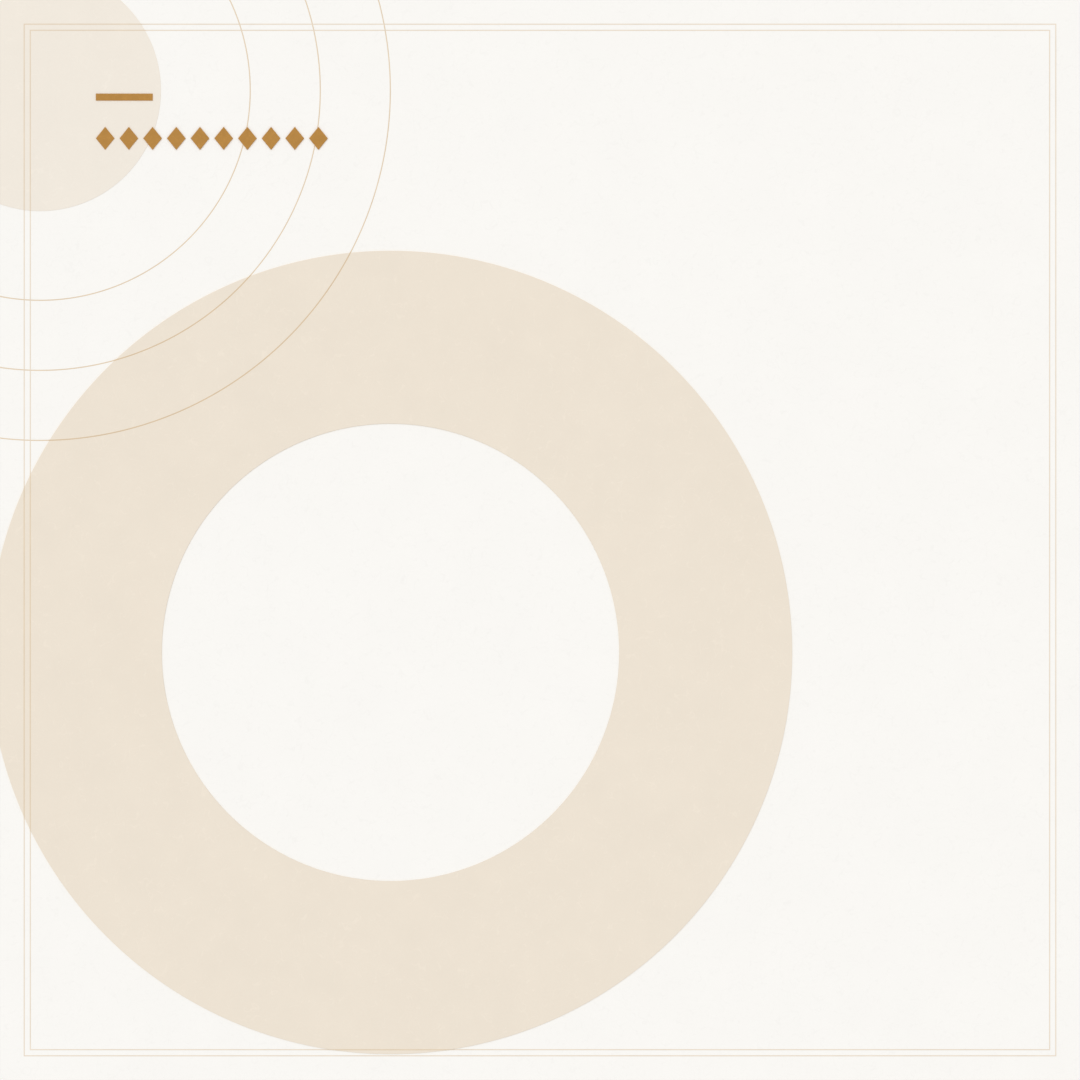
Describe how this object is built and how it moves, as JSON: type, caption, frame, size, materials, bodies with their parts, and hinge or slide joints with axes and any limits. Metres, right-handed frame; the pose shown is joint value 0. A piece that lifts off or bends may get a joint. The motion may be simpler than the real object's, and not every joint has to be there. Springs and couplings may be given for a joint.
{
  "type": "title card",
  "caption": "Square title card of laminated board, with a broad ring, a corner disc, a short bar and a row of lozenges let into its scored face.",
  "frame": {"origin": "on the underside of the back sheet, at the middle of the square", "axes": "+X to the right of the design, +Y to its head, +Z out of the face"},
  "size_m": [0.3, 0.3, 0.0044],
  "materials": {
    "backing_paper": "matte",
    "grey_board": "matte",
    "face_card": "matte",
    "tan_card": "matte",
    "cream_card": "matte",
    "ochre_card": "matte"
  },
  "bodies": {
    "root": {"back_sheet": "backing_paper", "core_board": "grey_board", "face_sheet": "face_card", "ring_field": "face_card", "broad_ring": "tan_card", "corner_disc": "cream_card", "title_bar": "ochre_card", "lozenge_01": "ochre_card", "lozenge_02": "ochre_card", "lozenge_03": "ochre_card", "lozenge_04": "ochre_card", "lozenge_05": "ochre_card", "lozenge_06": "ochre_card", "lozenge_07": "ochre_card", "lozenge_08": "ochre_card", "lozenge_09": "ochre_card", "lozenge_10": "ochre_card"}
  },
  "joints": []
}
